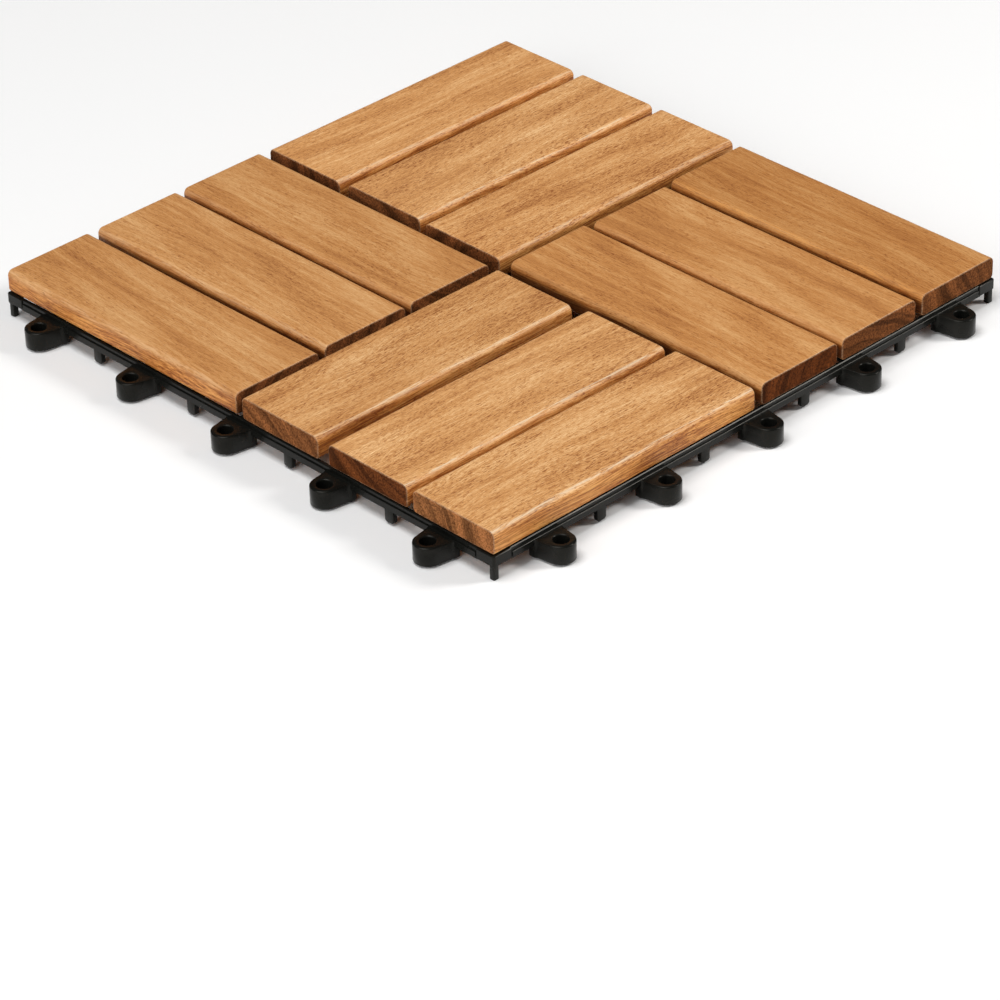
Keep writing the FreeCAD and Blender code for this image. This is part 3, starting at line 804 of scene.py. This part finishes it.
def faces_material():
    """Oiled hardwood along the grain: ribbons, fibres and short pores, over one scale of colours."""
    material, shader, add, link = new_material("oiled_wood")
    log, grain = wandering_grain(add)
    bright, warm, figure = vertex_numbers(add, "tone")
    end, side, end_tone = vertex_numbers(add, "end_and_side")
    wear_and_highlight, painted_shade = vertex_numbers(add, "wear_highlight_and_shade")[:2]

    rings = growth_rings(add, grain, TOP_RINGS)
    turn = {"Vector": grain, "Angle": RIBBON_SLANT}
    slanted = add("ShaderNodeVectorRotate", turn, rotation_type="Z_AXIS").outputs[0]
    ribbon = figure_noise(add, slanted, RIBBON)
    fibre = figure_noise(add, grain, FIBRE)
    strokes = figure_noise(add, grain, STROKES)
    mottle = figure_noise(add, grain, MOTTLE)
    figure = times(add, figure, plus(add, side, FIGURE_ON_SIDES, 1.0))
    room = spread(add, stretched_noise(add, grain, PORE_ROOM), *PORE_THRESHOLD)
    threshold = plus(add, figure, THRESHOLD_IN_FIGURE, room)
    pores = maths(add, "SUBTRACT", stretched_noise(add, grain, PORES), threshold)
    pores = spread(add, pores, *PORE_EDGE)

    # One number says how dark or pale a point is, and the scale of colours does the rest
    shade = plus(add, ribbon, RIBBON_SHARE, MIDDLE_SHADE)
    shade = plus(add, maths(add, "SUBTRACT", rings, 0.5), RINGS_SHARE, shade)
    shade = plus(add, fibre, plus(add, side, FIBRE_ON_SIDES, FIBRE_SHARE), shade)
    shade = plus(add, strokes, plus(add, figure, STROKES_IN_FIGURE, STROKES_SHARE), shade)
    shade = plus(add, times(add, mottle, figure), MOTTLE_IN_FIGURE, shade)
    shade = plus(add, pores, plus(add, figure, PORES_IN_FIGURE, PORES_SHARE), shade)
    contrast = plus(add, side, CONTRAST_ON_SIDES, CONTRAST)
    shade = plus(add, maths(add, "SUBTRACT", shade, 0.5), contrast, 0.5)
    base = colour_scale(add, shade, (0.0, DARK_WOOD), (0.5, MIDDLE_WOOD), (1.0, PALE_WOOD))
    base = tinted(add, base, mix(add, warm, COOL_CAST, WARM_CAST))
    # The sides darken, partly in their own colour and partly with painted shade
    base = tinted(add, base, mix(add, side, NO_CAST, SIDE_TONE_AND_SHADE))
    base = shaded(add, base, bright)

    # Worn edges are paler, in broken streaks that also paint a highlight, and painted shade darkens the
    # sides down in the gaps
    worn_highlight_streaks = spread(add, stretched_noise(add, grain, WORN_HIGHLIGHT_STREAKS), *WORN_HIGHLIGHT_PARTS)
    base = mix(add, times(add, wear_and_highlight, worn_highlight_streaks), base, mix(add, warm, COOL_WORN_HIGHLIGHT, WARM_WORN_HIGHLIGHT))
    base = tinted(add, base, mix(add, painted_shade, NO_CAST, PAINTED_SHADE_CAST))

    # The eased edge goes over into the sawn end, with torn fibres and a painted glint at its rim
    sawn, speckle = sawn_colour(add, log, grain, end_tone)
    base = mix(add, spread(add, end, 0.4, 0.8), base, sawn)
    link(torn_rim_glint(add, spread(add, end, 0.2, 0.5), speckle, base), shader.inputs["Base Color"])

    # The oil shines most on the tops, least in the pores and where it is worn away
    rough = plus(add, side, ROUGHER_SIDES, plus(add, strokes, ROUGHER_STROKES, OILED))
    rough = plus(add, wear_and_highlight, ROUGHER_WHERE_WORN, rough)
    link(plus(add, pores, ROUGHER_PORES, rough), shader.inputs["Roughness"])
    shader.inputs["Specular IOR Level"].default_value = 0.42
    shader.inputs["Specular Tint"].default_value = WOOD_SHINE
    height = plus(add, fibre, 1.0, plus(add, strokes, 0.5, times(add, pores, -0.8)))
    add_relief(add, link, shader, height, WOOD_RELIEF)
    return material


def ends_material():
    """Sawn end grain: dark, rough and dull."""
    material, shader, add, link = new_material("sawn_wood")
    log, grain = wandering_grain(add)
    end, end_tone = vertex_numbers(add, "end_and_side")[::2]
    sawn, speckle = sawn_colour(add, log, grain, end_tone)
    # The rim takes torn fibres and a painted glint
    link(torn_rim_glint(add, spread(add, end, 0.98, 0.8), speckle, sawn), shader.inputs["Base Color"])
    shader.inputs["Roughness"].default_value = 0.85
    shader.inputs["Specular IOR Level"].default_value = 0.06
    add_relief(add, link, shader, speckle, END_RELIEF)
    return material


def even_noise(add, scale, detail):
    """Noise that is alike in all directions, with its scale in features to the metre."""
    place = add("ShaderNodeTexCoord").outputs["Object"]
    return add("ShaderNodeTexNoise", {"Vector": place, "Scale": scale, "Detail": detail}).outputs["Fac"]


def plastic_material():
    """Black moulded plastic: satin, with a faint moulded texture and a little dust."""
    material, shader, add, link = new_material("black_plastic")
    fine = even_noise(add, 1400.0, 3.0)
    broad = even_noise(add, 60.0, 3.0)
    base = colour_scale(add, broad, (0.3, DARK_PLASTIC), (0.75, PALE_PLASTIC))
    link(base, shader.inputs["Base Color"])
    link(spread(add, broad, 0.3, 0.7, 0.2, 0.3), shader.inputs["Roughness"])
    shader.inputs["Specular IOR Level"].default_value = 0.17
    shader.inputs["Specular Tint"].default_value = PLASTIC_SHINE
    add_relief(add, link, shader, fine, PLASTIC_RELIEF)
    return material


def steel_material():
    """Plated steel for the screws."""
    material, shader, add, link = new_material("screw_steel")
    grime = even_noise(add, 700.0, 4.0)
    base = colour_scale(add, grime, (0.35, DARK_STEEL), (0.7, PALE_STEEL))
    link(base, shader.inputs["Base Color"])
    link(spread(add, grime, 0.3, 0.7, 0.3, 0.5), shader.inputs["Roughness"])
    shader.inputs["Metallic"].default_value = 1.0
    return material


def make_floor():
    """A plain pale floor."""
    material, shader = new_material("pale_floor")[:2]
    shader.inputs["Base Color"].default_value = PALE_FLOOR
    shader.inputs["Roughness"].default_value = 0.7
    shader.inputs["Specular IOR Level"].default_value = 0.2
    mesh = bmesh.new()
    reach = 30.0
    corners = [mesh.verts.new((x * reach, y * reach, 0)) for x, y in ((-1, -1), (1, -1), (1, 1), (-1, 1))]
    mesh.faces.new(corners)
    data = bpy.data.meshes.new("floor")
    mesh.to_mesh(data)
    mesh.free()
    data.materials.append(material)
    floor = bpy.data.objects.new("floor", data)
    bpy.context.scene.collection.objects.link(floor)


# Worked out from the photograph: azimuth, elevation and roll in degrees, then lengths in metres,
# and the lens in millimetres
CAMERA_ANGLES = (46.4679, 32.7136, -1.5402)
CAMERA_TARGET = (0.122445, -0.119533, 0.012)
CAMERA_DISTANCE = 1.76796
CAMERA_LENS = 160.42

# The faint light from all around
WORLD_LIGHT = 0.09


def make_camera():
    """The camera where the photograph was taken from."""
    azimuth, elevation, roll = (math.radians(angle) for angle in CAMERA_ANGLES)
    back = Vector((
        math.sin(azimuth) * math.cos(elevation),
        -math.cos(azimuth) * math.cos(elevation),
        math.sin(elevation),
    ))
    right = (-back).cross(Vector((0, 0, 1))).normalized()
    up = right.cross(-back)
    across = math.cos(roll) * right + math.sin(roll) * up
    upwards = -math.sin(roll) * right + math.cos(roll) * up
    data = bpy.data.cameras.new("camera")
    data.sensor_width = 36
    data.lens = CAMERA_LENS
    data.clip_start = 0.1
    data.clip_end = 100
    camera = bpy.data.objects.new("camera", data)
    turn = Matrix((across, upwards, back)).transposed().to_4x4()
    camera.matrix_world = Matrix.Translation(Vector(CAMERA_TARGET) + back * CAMERA_DISTANCE) @ turn
    bpy.context.scene.collection.objects.link(camera)
    bpy.context.scene.camera = camera


def add_light(name, place, target, size, power, colour):
    """A soft rectangular studio light."""
    data = bpy.data.lights.new(name, "AREA")
    data.shape = "RECTANGLE"
    data.size, data.size_y = size
    data.energy = power
    data.color = colour
    light = bpy.data.objects.new(name, data)
    light.location = place
    light.rotation_mode = "QUATERNION"
    light.rotation_quaternion = (Vector(target) - Vector(place)).to_track_quat("-Z", "Y")
    bpy.context.scene.collection.objects.link(light)


def make_lights():
    """Soft studio light: a small one behind to the right, a low one in front and a broad one above."""
    middle = Vector((0.0, 0.0, 0.02))

    # Each light's name, direction from the tile, distance, size, power and colour
    lights = (
        ("right", (0.54, 0.58, 0.6), 2.0, (0.45, 0.45), 18.5, (1.0, 0.985, 0.96)),
        ("front", (0.15, -0.9, 0.5), 2.0, (1.9, 1.2), 16, (1.0, 1.0, 1.0)),
        ("over", (-0.05, -0.28, 1.0), 3.0, (1.6, 1.6), 51.5, (1.0, 1.0, 1.0)),
    )
    for name, direction, distance, size, power, colour in lights:
        place = middle + Vector(direction).normalized() * distance
        add_light(name, place, middle, size, power, colour)
    world = bpy.data.worlds.new("studio")
    world.use_nodes = True
    background = world.node_tree.nodes["Background"]
    background.inputs["Color"].default_value = (1, 1, 1, 1)
    background.inputs["Strength"].default_value = WORLD_LIGHT
    bpy.context.scene.world = world


make_camera()
make_lights()
make_floor()
plastic = plastic_material()
steel = steel_material()
long_grain = faces_material()
end_grain = ends_material()
grid_pieces = [
    make_rail(plastic), make_ribs(plastic), make_sockets(plastic), make_loops(plastic),
    make_tabs(plastic), make_bosses(plastic), make_feet(plastic),
]
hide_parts("base_grid")
screws = make_screws(steel)
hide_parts("slat_screws")
for number, (label, facts) in enumerate(SLATS.items()):
    make_slat(label, facts, number + 1, long_grain, end_grain)
bpy.context.scene.view_settings.view_transform = "Standard"
